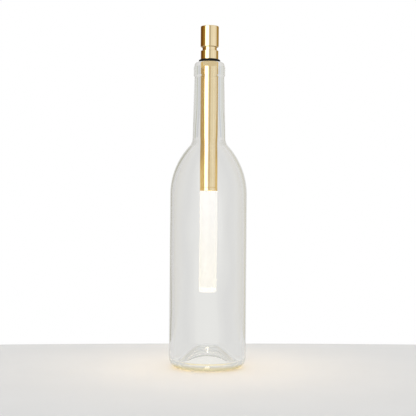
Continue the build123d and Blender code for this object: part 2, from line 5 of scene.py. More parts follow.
import bpy
import numpy as np
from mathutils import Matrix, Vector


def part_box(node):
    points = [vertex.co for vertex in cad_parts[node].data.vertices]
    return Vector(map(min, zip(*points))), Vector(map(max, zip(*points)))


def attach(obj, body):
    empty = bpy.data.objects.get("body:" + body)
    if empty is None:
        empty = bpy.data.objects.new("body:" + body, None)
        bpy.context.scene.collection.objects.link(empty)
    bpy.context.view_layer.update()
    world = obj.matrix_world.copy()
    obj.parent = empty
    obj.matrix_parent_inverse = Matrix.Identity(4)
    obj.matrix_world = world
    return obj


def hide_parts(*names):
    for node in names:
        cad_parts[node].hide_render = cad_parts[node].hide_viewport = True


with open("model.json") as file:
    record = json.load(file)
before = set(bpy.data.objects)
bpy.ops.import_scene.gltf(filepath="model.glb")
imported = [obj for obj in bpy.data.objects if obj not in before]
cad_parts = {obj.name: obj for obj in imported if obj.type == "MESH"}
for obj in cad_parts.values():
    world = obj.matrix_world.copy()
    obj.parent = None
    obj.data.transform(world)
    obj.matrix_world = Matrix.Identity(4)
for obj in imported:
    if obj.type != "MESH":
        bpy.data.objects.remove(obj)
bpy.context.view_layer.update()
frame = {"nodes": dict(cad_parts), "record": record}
MM = 0.001

# Sizes of the bottle's glass that its box doesn't give
GLASS_WALL = 2.9 * MM
SHOULDER_START = 169.5 * MM
SHOULDER_ROUND = 71.0 * MM
NECK_ROUND = 11.0 * MM
HEEL_ROUND = 10.2 * MM
FLOOR_HEIGHT = 6.6 * MM
FLOOR_ROUND = 9.0 * MM
FLOOR_SLOPE_ROUND = 7.0 * MM
PUNT_HEIGHT = 18.4 * MM
PUNT_GLASS = 4.4 * MM
PUNT_ROUND = 9.0 * MM
PUNT_FOOT_ROUND = 3.0 * MM
PUNT_TIP_SHARE = 0.26
PUNT_FOOT_SHARE = 0.66
PUNT_INNER_FOOT_SHARE = 0.785
MOUTH_GAP = 0.65 * MM
MOUTH_EDGE_ROUND = 0.8 * MM
BORE_DEPTH = 45.0 * MM
BORE_END_ROUND = 20.0 * MM
NECK_FLARE = 2.2 * MM
NECK_BASE_WALL = 4.75 * MM
NECK_TOP_WALL = 5.4 * MM
LIP_WALL = 4.7 * MM
LIP_HEIGHT = 5.4 * MM
LIP_ROUND = 3.0 * MM
LIP_FOOT_ROUND = 4.0 * MM
BEAD_WALL = 6.3 * MM
BEAD_HEIGHT = 8.5 * MM
BEAD_ROUND = 1.5 * MM
BEAD_FOOT_SLOPE = 0.7 * MM
BEAD_WAIST = 0.16 * MM
BEAD_WAIST_ROUND = 4.0 * MM
GLASS_KINK_ROUND = 0.8 * MM

# Sizes of the turned pieces that their boxes don't give, an angle in radians and the run-in as a share
BREAK_EDGE = 0.08 * MM
CAP_TOP_ROUND = 0.9 * MM
CAP_RIM_CHAMFER = 0.35 * MM
COLLAR_EDGE_ROUND = 0.25 * MM
NECK_ROOT_ROUND = 0.3 * MM
END_ROUND = 1.6 * MM
PRESS_GAP = 0.05 * MM
RING_SLACK = 0.1 * MM
RING_CORD = 2.8 * MM
SEAL_CORD = 1.0 * MM
FLASH_HEIGHT = 0.03 * MM
FLASH_ANGLE = 0.12
NECK_SHOWN = 3.7 * MM
NECK_RADIUS = 7.1 * MM
SPIGOT_RADIUS = 7.75 * MM
COLLAR_BORE = 6.7 * MM
COLLAR_WEB = 1.8 * MM
SPINDLE_BORE = 5.4 * MM
THREAD_ROOT = 6.0 * MM
THREAD_DEPTH = 0.45 * MM
THREAD_ROOT_WIDTH = 1.0 * MM
THREAD_CREST_WIDTH = 0.4 * MM
THREAD_LEAD = 3.0 * MM
THREAD_STARTS = 2
THREAD_HEIGHT = 5.0 * MM
THREAD_RISE = 1.75 * MM
THREAD_SUNK = 0.12 * MM
THREAD_RUN_IN = 0.045
THREAD_RUN_IN_CURVE = 0.7
CASING_BORE = 7.8 * MM
CASING_EDGE = 0.15 * MM
FERRULE_BORE = 6.95 * MM
FERRULE_EDGE = 0.2 * MM
DIFFUSER_BORE = 6.0 * MM
DIFFUSER_NECK = 6.9 * MM
DIFFUSER_EDGE_ROUND = 0.3 * MM
END_SPIGOT = 4.0 * MM


def radius_of(node):
    """Half the width of a node's box."""
    low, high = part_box(node)
    return (high.x - low.x) / 2


def low_z(node):
    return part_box(node)[0].z


def high_z(node):
    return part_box(node)[1].z


bottle_radius = radius_of("bottle")
bottle_height = high_z("bottle")
mouth_radius = radius_of("casing_tube") + MOUTH_GAP

# Steps of arcs, longest straight steps, and steps round each kind of turned piece
ARC_STEP = math.radians(6)
BOTTLE_ARC_STEP = math.radians(4.6)
BOTTLE_SPACING = 9.0 * MM
BOTTLE_STEPS = 384
BRASS_STEPS = 180
OPAL_STEPS = 144
OPAL_SPACING = 8.0 * MM
RUBBER_STEPS = 128
CORD_STEPS = 48
THREAD_ROWS = 220
TABLE_STEPS = 720
TINY = 1e-9
SLACK = 1e-6


# Mesh makers


def rounded(corners, closed=False, spacing=None, arc_step=ARC_STEP):
    """Outline through corners (r, z, round): each round corner is the arc that touches its two runs.

    Points and tangents are complex numbers r + iz. An arc of radius R that leaves direction u for a
    turn t is the centre minus i R u exp(i s), with s from 0 to t. Rounds that don't fit their run are
    made smaller together. Straight runs longer than spacing are divided evenly.
    """
    spots = np.array([complex(c[0], c[1]) for c in corners])
    rounds = [c[2] if len(c) > 2 else 0.0 for c in corners]
    count = len(spots)
    runs = np.roll(spots, -1) - spots
    units = runs / np.abs(runs)
    inner = [closed or 0 < i < count - 1 for i in range(count)]
    turns = [np.angle(units[i] / units[i - 1]) if inner[i] else 0.0 for i in range(count)]
    reach = [rounds[i] * math.tan(abs(turns[i]) / 2) for i in range(count)]
    shares = [min(1.0, abs(runs[i]) / max(reach[i] + reach[(i + 1) % count], TINY)) for i in range(count)]
    rounds = [rounds[i] * min(shares[i - 1], shares[i]) for i in range(count)]
    points, tangents = [], []
    for i in range(count):
        before = units[i - 1] if inner[i] else units[min(i, count - 2)]
        turn = turns[i]
        if rounds[i] and abs(turn) > SLACK:
            side = math.copysign(1.0, turn)
            start = spots[i] - before * rounds[i] * math.tan(abs(turn) / 2)
            steps = max(2, math.ceil(abs(turn) / arc_step))
            swept = before * np.exp(1j * np.linspace(0, turn, steps + 1))
            centre = start + 1j * before * rounds[i] * side
            points.append(centre - 1j * side * rounds[i] * swept)
            tangents.append(swept)
        else:
            points.append(spots[i:i + 1])
            tangents.append(np.array([before * np.exp(0.5j * turn)]))
    points, tangents = np.concatenate(points), np.concatenate(tangents)
    if spacing is None:
        return points, tangents
    ends = np.append(points[1:], points[0]) if closed else points[1:]
    starts = points if closed else points[:-1]
    full, full_tangents = [], []
    for start, end, tangent in zip(starts, ends, tangents):
        steps = max(1, math.ceil(abs(end - start) / spacing - SLACK))
        full.append(start + (end - start) * np.arange(steps) / steps)
        along = np.full(steps, (end - start) / max(abs(end - start), TINY))
        along[0] = tangent
        full_tangents.append(along)
    if not closed:
        full.append(points[-1:])
        full_tangents.append(tangents[-1:])
    return np.concatenate(full), np.concatenate(full_tangents)


def grid_faces(rows, columns, wrap):
    """Quads of a grid of points, whose columns go round and whose rows wrap if asked."""
    row, column = np.meshgrid(np.arange(rows if wrap else rows - 1), np.arange(columns), indexing="ij")
    next_row, next_column = (row + 1) % rows, (column + 1) % columns
    corners = [row * columns + column, row * columns + next_column,
               next_row * columns + next_column, next_row * columns + column]
    return np.stack(corners, -1).reshape(-1, 4)


def build(name, points, quads, triangles=None, normals=None):
    """A smooth mesh object, placed by its own points, whose faces point outwards."""
    triangles = np.zeros((0, 3), int) if triangles is None else triangles
    halves = np.concatenate([quads[:, :3], quads[:, [0, 2, 3]], triangles])
    a, b, c = (points[halves[:, k]] for k in range(3))
    if np.einsum("ij,ij->", a, np.cross(b, c)) < 0:
        quads, triangles = quads[:, ::-1], triangles[:, ::-1]
    mesh = bpy.data.meshes.new(name)
    mesh.from_pydata(points.tolist(), [], quads.tolist() + triangles.tolist())
    mesh.polygons.foreach_set("use_smooth", np.ones(len(mesh.polygons), bool))
    if normals is not None:
        mesh.normals_split_custom_set_from_vertices(normals.tolist())
    mesh.update()
    piece = bpy.data.objects.new(name, mesh)
    bpy.context.scene.collection.objects.link(piece)
    return piece


def turn(outline, steps, closed=True, shift=None):
    """Surface of revolution: outline point (r, z) goes to (r cos a, r sin a, z) at each angle a.

    An outline that isn't closed starts and ends on the axis, where fans of triangles close it. shift
    gives complex offsets, one for each outline point and angle. Normals are the outline's own, unless
    it is shifted.
    """
    spots, tangents = outline
    angles = np.linspace(0, 2 * math.pi, steps, endpoint=False)
    grid = np.repeat(spots[:, None], steps, 1)
    if shift is not None:
        grid = grid + shift(spots[:, None], tangents[:, None], angles[None, :])
    across = np.stack([grid.real * np.cos(angles), grid.real * np.sin(angles), grid.imag], -1)
    area = np.sum(spots.real * np.roll(spots.imag, -1) - np.roll(spots.real, -1) * spots.imag)
    facing = np.repeat((-1j * tangents)[:, None], steps, 1) * math.copysign(1.0, area)
    normals = np.stack([facing.real * np.cos(angles), facing.real * np.sin(angles), facing.imag], -1)
    if closed:
        normals = None if shift else normals.reshape(-1, 3)
        return across.reshape(-1, 3), grid_faces(len(spots), steps, True), None, normals
    body, body_normals = across[1:-1].reshape(-1, 3), normals[1:-1].reshape(-1, 3)
    rows = len(spots) - 2
    poles = np.array([[0, 0, grid[0, 0].imag], [0, 0, grid[-1, 0].imag]])
    points = np.concatenate([body, poles])
    ring = np.arange(steps)
    after = (ring + 1) % steps
    first = np.stack([np.full(steps, rows * steps), after, ring], -1)
    last_row = (rows - 1) * steps
    last = np.stack([np.full(steps, rows * steps + 1), last_row + ring, last_row + after], -1)
    normals = None if shift else np.concatenate([body_normals, normals[:1, 0], normals[-1:, 0]])
    return points, grid_faces(rows, steps, False), np.concatenate([first, last]), normals


def turned(name, corners, steps, closed=True, spacing=None):
    """A turned piece from its outline's corners (r, z, round)."""
    return build(name, *turn(rounded(corners, closed, spacing), steps, closed))


# Metals: how noise is stretched for turned or drawn marks, its sizes, and the brass's colours
RINGS = (0.05, 0.05, 1.0)
LENGTHWISE = (1.0, 1.0, 0.04)
EVEN = (1.0, 1.0, 1.0)
METAL_GRAIN = 0.4 * MM
METAL_PATCH = 9.0 * MM
METAL_SHADE = 0.94
METAL_GLOSS = (0.8, 1.25)
BRASS_COLOURS = ((0.3, (0.87, 0.685, 0.385)), (0.7, (0.9, 0.72, 0.42)))
BRASS_SMEAR = 7.0 * MM
BRASS_SMEAR_STRETCH = (1.0, 1.0, 0.5)
BRASS_ROUGHNESS = (0.05, 0.1)
BRASS_RING = 0.35 * MM
BRASS_RING_DEPTH = 0.0006 * MM

# Moulded and painted surfaces: mottle and gloss in grains of the skin, and what the rubber shows
MOTTLE_GRAINS = 12
GLOSS_GRAINS = 5
GLOSS_SPREAD = (0.85, 1.15)
RUBBER_COLOURS = ((0.35, (0.003, 0.003, 0.003)), (0.75, (0.01, 0.01, 0.011)))
RUBBER_DUST = 0.9 * MM
RUBBER_ROUGHNESS = (0.42, 0.6)
RUBBER_GRAIN = 0.12 * MM
RUBBER_GRAIN_DEPTH = 0.004 * MM
ACRYLIC_WAVE = 2.0 * MM
ACRYLIC_WAVE_DEPTH = 0.002 * MM

# Glass: tints and sheens, and the stretches in which they give way to each other
WALL_TINT = (0.97, 0.972, 0.968)
HEEL_TINT = (0.95, 0.76, 0.34)
HEEL_TOP = (3.5 * MM, 6.5 * MM)
HEEL_SURFACES = 2
WALL_SHEEN = (0.12, 0.12, 0.12)
PUNT_SHEEN = (0.9, 0.9, 0.9)
PUNT_EDGE = (26 * MM, 31 * MM)
PUNT_TOP = (26 * MM, 30 * MM)
GLASS_DEPTH_COLOUR = (0.5, 0.55, 0.35)
GLASS_DEPTH_DENSITY = 1.5
GLASS_SHADOW = (0.985, 0.987, 0.985)
# Painted glow: the even grey that the glass gives out once a ray has been mirrored this many times
TRAPPED_AFTER = 3
TRAPPED_PAINTED_GLOW = (0.7, 0.7, 0.68)

# Opal: its own colour, what it shows from foot to head, and what it gives to mirrors and surfaces
OPAL_WHITE = (0.62, 0.61, 0.59)
OPAL_CLOUD = 3.0 * MM
OPAL_ROUGHNESS = (0.28, 0.36)
OPAL_GLOW = ((0.0, (1.0, 0.965, 0.87)), (0.45, (1.0, 0.98, 0.92)), (0.9, (1.0, 1.0, 1.0)))
TUBE_GLOW = 0.6
END_GLOW = 0.72
LAMP_COLOUR = (1.0, 0.78, 0.52)
LAMP_STRENGTH = 18.0
MIRRORED_COLOUR = (1.0, 0.86, 0.6)
MIRRORED_STRENGTH = 12.0
MIRRORED_AGAIN_STRENGTH = 3.0


# Finishes


class Nodes:
    """Short calls that add nodes to the tree of a material or of the world."""

    def add(self, kind, inputs=(), **settings):
        """A node of that kind. An input that is a socket is linked, and any other is set."""
        node = self.tree.nodes.new("ShaderNode" + kind)
        for key, value in settings.items():
            setattr(node, key, value)
        for key, value in dict(inputs).items():
            if isinstance(value, bpy.types.NodeSocket):
                self.tree.links.new(value, node.inputs[key])
            else:
                node.inputs[key].default_value = value
        return node

    def math(self, operation, *values):
        return self.add("Math", dict(enumerate(values)), operation=operation).outputs["Value"]

    def between(self, socket, low, high, start=0.3, end=0.7):
        """The socket's value from start to end, the middle of a noise, mapped to low and high."""
        return self.add("MapRange", {"Value": socket, "From Min": start, "From Max": end, "To Min": low,
                                     "To Max": high}).outputs["Result"]

    def at_least(self, count, least):
        """1 where a whole number is at least that many, and else 0."""
        return self.math("GREATER_THAN", count, least - 0.5)

    def colours(self, socket, *stops):
        """A ramp of (place, colour) stops read at the socket."""
        ramp = self.add("ValToRGB", {"Fac": socket})
        for i, (place, colour) in enumerate(stops):
            stop = ramp.color_ramp.elements[i] if i < 2 else ramp.color_ramp.elements.new(place)
            stop.position = place
            stop.color = (*colour, 1)
        return ramp.outputs["Color"]

    def blended(self, share, first, second, way="MIX"):
        """The first colour, and by the share what the second makes of it in that way."""
        inputs = {0: share, 6: first, 7: second}
        return self.add("Mix", inputs, data_type="RGBA", blend_type=way).outputs[2]

    def mixed(self, share, first, second):
        """Two shaders, the first where the share is 0 and the second where it is 1."""
        return self.add("MixShader", {0: share, 1: first, 2: second}).outputs["Shader"]

    def glow(self, colour, strength=1.0):
        return self.add("Emission", {"Color": colour, "Strength": strength}).outputs["Emission"]


class Finish(Nodes):
    """A material with its Principled shader and its output."""

    def __init__(self, name, **values):
        self.material = bpy.data.materials.new(name)
        self.material.use_nodes = True
        self.tree = self.material.node_tree
        self.shader = next(n for n in self.tree.nodes if n.type == "BSDF_PRINCIPLED")
        self.output = next(n for n in self.tree.nodes if n.type == "OUTPUT_MATERIAL")
        for key, value in values.items():
            self.shader.inputs[key.replace("_", " ")].default_value = value
        self.place = None

    def feed(self, socket, name):
        self.tree.links.new(socket, self.shader.inputs[name])

    def show(self, shader, name="Surface"):
        self.tree.links.new(shader, self.output.inputs[name])

    def spot(self, stretch=(1, 1, 1)):
        """Object coordinates in metres, stretched along the axes."""
        if self.place is None:
            self.place = self.add("TexCoord").outputs["Object"]
        return self.add("Mapping", {"Vector": self.place, "Scale": stretch}).outputs["Vector"]

    def noise(self, size, stretch=(1, 1, 1), detail=3.0):
        """Noise whose blobs are about size metres across."""
        inputs = {"Vector": self.spot(stretch), "Scale": 1 / size, "Detail": detail, "Roughness": 0.5}
        return self.add("TexNoise", inputs).outputs["Fac"]

    def bump(self, height, depth):
        """Dents depth metres deep where the height is low."""
        node = self.add("Bump", {"Height": height, "Distance": depth, "Strength": 1.0})
        self.feed(node.outputs["Normal"], "Normal")


def rgb(*values):
    return (*values, 1.0)


def plain(name, colour, roughness, grain, depth, spread=0.12):
    """A moulded, cast or painted surface: slight mottling, uneven gloss and a fine skin."""
    f = Finish(name)
    mottle = f.noise(grain * MOTTLE_GRAINS)
    dark = [c * (1 - spread) for c in colour]
    light = [min(1.0, c * (1 + spread)) for c in colour]
    f.feed(f.colours(mottle, (0.3, dark), (0.7, light)), "Base Color")
    f.feed(f.between(f.noise(grain * GLOSS_GRAINS), *(roughness * s for s in GLOSS_SPREAD)), "Roughness")
    f.bump(f.noise(grain, detail=5), depth)
    return f.material


def metal(name, colour, roughness, stretch, depth):
    """Bare metal with marks drawn out along the axes where stretch is small."""
    f = Finish(name, Metallic=1.0)
    marks = f.noise(METAL_GRAIN, stretch, detail=4)
    patch = f.noise(METAL_PATCH)
    f.feed(f.colours(patch, (0.3, [c * METAL_SHADE for c in colour]), (0.7, colour)), "Base Color")
    f.feed(f.between(patch, *(roughness * s for s in METAL_GLOSS)), "Roughness")
    f.bump(marks, depth)
    return f.material


def polished_brass():
    """Lacquered brass with fine turning rings and the faint smears of handling."""
    f = Finish("polished brass", Metallic=1.0)
    smear = f.noise(BRASS_SMEAR, BRASS_SMEAR_STRETCH, detail=4)
    f.feed(f.colours(smear, *BRASS_COLOURS), "Base Color")
    f.feed(f.between(smear, *BRASS_ROUGHNESS), "Roughness")
    f.bump(f.noise(BRASS_RING, RINGS), BRASS_RING_DEPTH)
    return f.material


def clear_glass():
    """Flint glass, clear in the wall and olive gold in the heel's outside. Lamps shine through it.

    The heel colours light at the first two surfaces that it crosses and no further. The punt mirrors
    more than the wall. Light that was mirrored three times is lost in the glass, and the glass shows a
    painted glow in its place: an even grey that stands in for scattered light.
    """
    f = Finish("clear glass", Transmission_Weight=1.0, IOR=1.5, Roughness=0.0)
    height = f.add("SeparateXYZ", {"Vector": f.spot()}).outputs["Z"]
    reach = f.add("VectorMath", {0: f.spot((1, 1, 0))}, operation="LENGTH").outputs["Value"]
    path = f.add("LightPath").outputs
    inner = f.between(reach, 1.0, 0.0, *PUNT_EDGE)
    low = f.between(height, 1.0, 0.0, *PUNT_TOP)
    above = f.between(height, 0.0, 1.0, *HEEL_TOP)
    beyond = f.at_least(path["Transmission Depth"], HEEL_SURFACES)
    wall = f.math("MAXIMUM", f.math("MAXIMUM", inner, above), beyond)
    f.feed(f.colours(wall, (0.0, HEEL_TINT), (1.0, WALL_TINT)), "Base Color")
    punt = f.math("MULTIPLY", inner, low)
    f.feed(f.colours(punt, (0.0, WALL_SHEEN), (1.0, PUNT_SHEEN)), "Specular Tint")
    clear = f.add("BsdfTransparent", {"Color": rgb(*GLASS_SHADOW)}).outputs["BSDF"]
    glass = f.mixed(path["Is Shadow Ray"], f.shader.outputs["BSDF"], clear)
    # Painted glow: where a ray has been mirrored three times, the glass gives out an even grey instead
    trapped = f.at_least(path["Glossy Depth"], TRAPPED_AFTER)
    f.show(f.mixed(trapped, glass, f.glow(rgb(*TRAPPED_PAINTED_GLOW))))
    f.material.cycles.emission_sampling = "NONE"
    thick = f.add("VolumeAbsorption", {"Color": rgb(*GLASS_DEPTH_COLOUR), "Density": GLASS_DEPTH_DENSITY})
    f.show(thick.outputs["Volume"], "Volume")
    return f.material


def black_rubber():
    f = Finish("black rubber", IOR=1.5, Specular_IOR_Level=0.18)
    dust = f.noise(RUBBER_DUST, detail=5)
    f.feed(f.colours(dust, *RUBBER_COLOURS), "Base Color")
    f.feed(f.between(dust, *RUBBER_ROUGHNESS), "Roughness")
    f.bump(f.noise(RUBBER_GRAIN), RUBBER_GRAIN_DEPTH)
    return f.material


def opal_acrylic(name, foot, head, strength):
    """Opal acrylic lit from its head: white at the head, creamier towards its foot.

    Seen straight or through glass it has the cream of a well exposed lamp. A mirror shows it brighter,
    a second mirror less so, and what it lights gets the lamp's full amber.
    """
    f = Finish(name, Roughness=0.32, IOR=1.49, Base_Color=rgb(*OPAL_WHITE), Emission_Strength=strength)
    height = f.add("SeparateXYZ", {"Vector": f.spot()}).outputs["Z"]
    share = f.between(height, 0.0, 1.0, foot, head)
    f.feed(f.colours(share, *OPAL_GLOW), "Emission Color")
    f.feed(f.between(f.noise(OPAL_CLOUD, detail=2), *OPAL_ROUGHNESS), "Roughness")
    path = f.add("LightPath").outputs
    seen = f.shader.outputs["BSDF"]
    lamp = f.glow(rgb(*LAMP_COLOUR), LAMP_STRENGTH)
    mirrors = path["Glossy Depth"]
    mirrored = f.glow(rgb(*MIRRORED_COLOUR),
                      f.between(mirrors, MIRRORED_STRENGTH, MIRRORED_AGAIN_STRENGTH, 1.0, 2.0))
    given = f.mixed(path["Is Glossy Ray"], lamp, mirrored)
    f.show(f.mixed(path["Is Transmission Ray"], f.mixed(path["Is Camera Ray"], given, seen), seen))
    return f.material


def clear_acrylic():
    f = Finish("clear acrylic", Transmission_Weight=1.0, IOR=1.49, Roughness=0.03,
               Base_Color=rgb(0.97, 0.98, 0.985))
    f.bump(f.noise(ACRYLIC_WAVE), ACRYLIC_WAVE_DEPTH)
    return f.material


finishes = {
    "polished_brass": polished_brass(),
    "clear_glass": clear_glass(),
    "black_rubber": black_rubber(),
    "clear_acrylic": clear_acrylic(),
    "grey_silicone": plain("grey silicone", (0.45, 0.45, 0.46), 0.5, 0.3 * MM, 0.004 * MM),
    "black_nylon": plain("black nylon", (0.03, 0.03, 0.033), 0.42, 0.15 * MM, 0.008 * MM),
    "white_nylon": plain("white nylon", (0.82, 0.82, 0.79), 0.4, 0.2 * MM, 0.006 * MM, 0.05),
    "magnet_nickel": metal("magnet nickel", (0.74, 0.73, 0.71), 0.16, EVEN, 0.002 * MM),
    "socket_steel": metal("socket steel", (0.62, 0.62, 0.63), 0.24, LENGTHWISE, 0.004 * MM),
    "green_board": plain("green board", (0.03, 0.2, 0.1), 0.35, 0.25 * MM, 0.01 * MM, 0.2),
    "chip_black": plain("chip black", (0.035, 0.035, 0.037), 0.5, 0.08 * MM, 0.006 * MM),
    "cell_steel": metal("cell steel", (0.66, 0.66, 0.67), 0.28, LENGTHWISE, 0.004 * MM),
    "cell_foils": metal("cell foils", (0.3, 0.28, 0.27), 0.4, RINGS, 0.02 * MM),
    "fibre": plain("fibre", (0.8, 0.77, 0.68), 0.8, 0.1 * MM, 0.02 * MM, 0.08),
    "cell_sleeve": plain("cell sleeve", (0.05, 0.22, 0.42), 0.25, 1.5 * MM, 0.01 * MM, 0.06),
    "nickel_strip": metal("nickel strip", (0.7, 0.69, 0.66), 0.25, LENGTHWISE, 0.003 * MM),
    "amber_film": plain("amber film", (0.55, 0.28, 0.06), 0.25, 0.8 * MM, 0.004 * MM),
    "grey_foam": plain("grey foam", (0.25, 0.25, 0.26), 0.9, 0.25 * MM, 0.08 * MM, 0.25),
    "turned_aluminium": metal("turned aluminium", (0.78, 0.79, 0.8), 0.22, RINGS, 0.004 * MM),
    "white_board": plain("white board", (0.88, 0.88, 0.86), 0.35, 0.3 * MM, 0.004 * MM, 0.03),
    "phosphor": plain("phosphor", (0.95, 0.75, 0.2), 0.4, 0.1 * MM, 0.01 * MM, 0.08),
    "white_film": plain("white film", (0.95, 0.95, 0.95), 0.2, 0.5 * MM, 0.002 * MM, 0.02),
}


def paint(piece, material):
    """Make a material the piece's only one."""
    piece.data.materials.clear()
    piece.data.materials.append(material)


def dress(piece, slot, body, stands_for=None, material=None):
    """Give a piece the finish named by its slot, and its body, and hide the CAD node that it stands for.
    """
    paint(piece, material or finishes[slot])
    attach(piece, body)
    if stands_for:
        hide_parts(stands_for)


# Bottle

# Notches across the bearing ring, and the mould's seams up the outside
KNURL_COUNT = 96
KNURL_DEPTH = 0.45 * MM
KNURL_RADIUS = 28.2 * MM
KNURL_WIDTH = 1.7 * MM
KNURL_TOP = 1.5 * MM
KNURL_MOST_RISE = 0.5
SEAM_HEIGHT = 0.07 * MM
SEAM_ANGLE = math.radians(1.25)
SEAM_FOOT = 6.0 * MM
SEAM_HEAD = 283.0 * MM
SEAM_LEAST_RISE = 0.15

# Slow waves of the two walls: turns round, pitch up the wall, phase and share
WAVES = ((2, 34 * MM, 1.3, 1.0), (3, -21 * MM, 2.1, 0.6), (5, 13 * MM, 0.4, 0.35), (0, 9 * MM, 0.0, 0.3))
WAVE_INSIDE = 0.12 * MM
WAVE_OUTSIDE = 0.035 * MM
WAVE_FOOT = 30.0 * MM
WAVE_RUN_IN = 25.0 * MM
WAVE_HEAD = 232.0 * MM
WAVE_RUN_OUT = 30.0 * MM


def shoulder(body_radius, body_round, neck_radius, neck_round):
    """The two corners whose arcs, convex then hollow, touch each other between the wall and the neck."""
    first = complex(body_radius - body_round, SHOULDER_START)
    reach = body_round + neck_round
    across = neck_radius + neck_round - first.real
    toward = complex(across, math.sqrt(reach ** 2 - across ** 2)) / reach
    touch = first + body_round * toward
    slope = 1j * toward
    body_z = touch.imag + slope.imag * (body_radius - touch.real) / slope.real
    neck_z = touch.imag + slope.imag * (neck_radius - touch.real) / slope.real
    return (body_radius, body_z, body_round), (neck_radius, neck_z, neck_round)


def bottle_outline():
    """From the punt's underside out over the heel, up to the lip, down the bore and back to the axis."""
    tip = bottle_radius * PUNT_TIP_SHARE
    inner_radius = bottle_radius - GLASS_WALL
    neck_inner = mouth_radius + NECK_FLARE
    neck_outer = neck_inner + NECK_BASE_WALL
    neck_top = mouth_radius + NECK_TOP_WALL
    bead = mouth_radius + BEAD_WALL
    lip = mouth_radius + LIP_WALL
    lip_foot = bottle_height - LIP_HEIGHT
    bead_foot = lip_foot - BEAD_HEIGHT
    waist_z = lip_foot - BEAD_HEIGHT * 0.5
    apex = PUNT_HEIGHT + PUNT_GLASS
    wall, neck = shoulder(bottle_radius, SHOULDER_ROUND, neck_outer, NECK_ROUND)
    inner_wall, inner_neck = shoulder(inner_radius, SHOULDER_ROUND - GLASS_WALL, neck_inner,
                                      NECK_ROUND + NECK_BASE_WALL)
    return rounded([
        (0, PUNT_HEIGHT), (tip, PUNT_HEIGHT, PUNT_ROUND),
        (bottle_radius * PUNT_FOOT_SHARE, 0, PUNT_FOOT_ROUND), (bottle_radius, 0, HEEL_ROUND),
        wall, neck, (neck_top, bead_foot - BEAD_FOOT_SLOPE, GLASS_KINK_ROUND),
        (bead, bead_foot + BEAD_FOOT_SLOPE, BEAD_ROUND),
        (bead - BEAD_WAIST, waist_z, BEAD_WAIST_ROUND), (bead, lip_foot, LIP_FOOT_ROUND),
        (lip, bottle_height, LIP_ROUND), (mouth_radius, bottle_height, MOUTH_EDGE_ROUND),
        (mouth_radius, bottle_height - BORE_DEPTH, BORE_END_ROUND), inner_neck, inner_wall,
        (inner_radius, FLOOR_HEIGHT, FLOOR_ROUND),
        (bottle_radius * PUNT_INNER_FOOT_SHARE, FLOOR_HEIGHT, FLOOR_SLOPE_ROUND), (tip, apex, PUNT_ROUND),
        (0, apex)], spacing=BOTTLE_SPACING, arc_step=BOTTLE_ARC_STEP)


def blown(spots, tangents, angles):
    """What the mould and the breath leave on the glass, as offsets along the surface's own normal.

    Both walls swell and thin in slow waves, the inner one more: sums of sin(k a + z / pitch + phase).
    Two thin seams run up the outside a half turn apart. Short radial notches cut the bearing ring.
    """
    z = spots.imag
    rising = np.clip((z - WAVE_FOOT) / WAVE_RUN_IN, 0, 1)
    falling = np.clip((WAVE_HEAD - z) / WAVE_RUN_OUT, 0, 1)
    wave = sum(share * np.sin(turns * angles + z / pitch + phase) for turns, pitch, phase, share in WAVES)
    swell = np.where(tangents.imag < 0, WAVE_INSIDE, WAVE_OUTSIDE) * wave * rising * falling
    off_seam = np.abs((angles + math.pi / 2) % math.pi - math.pi / 2)
    on_wall = (tangents.imag > SEAM_LEAST_RISE) & (z > SEAM_FOOT) & (z < SEAM_HEAD)
    seam = SEAM_HEIGHT * np.exp(-(off_seam / SEAM_ANGLE) ** 2) * on_wall
    off_ring = (spots.real - KNURL_RADIUS) / KNURL_WIDTH
    on_ring = np.exp(-off_ring ** 2) * (z < KNURL_TOP) * (tangents.imag < KNURL_MOST_RISE)
    notch = KNURL_DEPTH * on_ring * (0.5 + 0.5 * np.cos(KNURL_COUNT * angles)) ** 2
    outward = -1j * tangents
    return outward * (swell + seam) + 1j * notch


def make_bottle():
    bottle = build("bottle_glass", *turn(bottle_outline(), BOTTLE_STEPS, False, blown))
    dress(bottle, "clear_glass", "bottle_body", "bottle")


make_bottle()


# Turned brass, rings and diffuser


def make_cap_shell():
    """The head: outside, rim, bore and ceiling, and the magnet's pocket."""
    outer = radius_of("cap_shell")
    top, rim = high_z("cap_shell"), low_z("cap_shell")
    bore = radius_of("cap_insert") + PRESS_GAP
    ceiling = high_z("cap_insert")
    pocket = radius_of("cap_magnet") + PRESS_GAP
    shell = turned("cap_shell_turned", [
        (0, top), (outer, top, CAP_TOP_ROUND), (outer, rim + CAP_RIM_CHAMFER, BREAK_EDGE),
        (outer - CAP_RIM_CHAMFER, rim, BREAK_EDGE), (bore, rim, BREAK_EDGE), (bore, ceiling, BREAK_EDGE),
        (pocket, ceiling, BREAK_EDGE), (pocket, high_z("cap_magnet"), BREAK_EDGE),
        (0, high_z("cap_magnet"))], steps=BRASS_STEPS, closed=False)
    dress(shell, "polished_brass", "cap", "cap_shell")


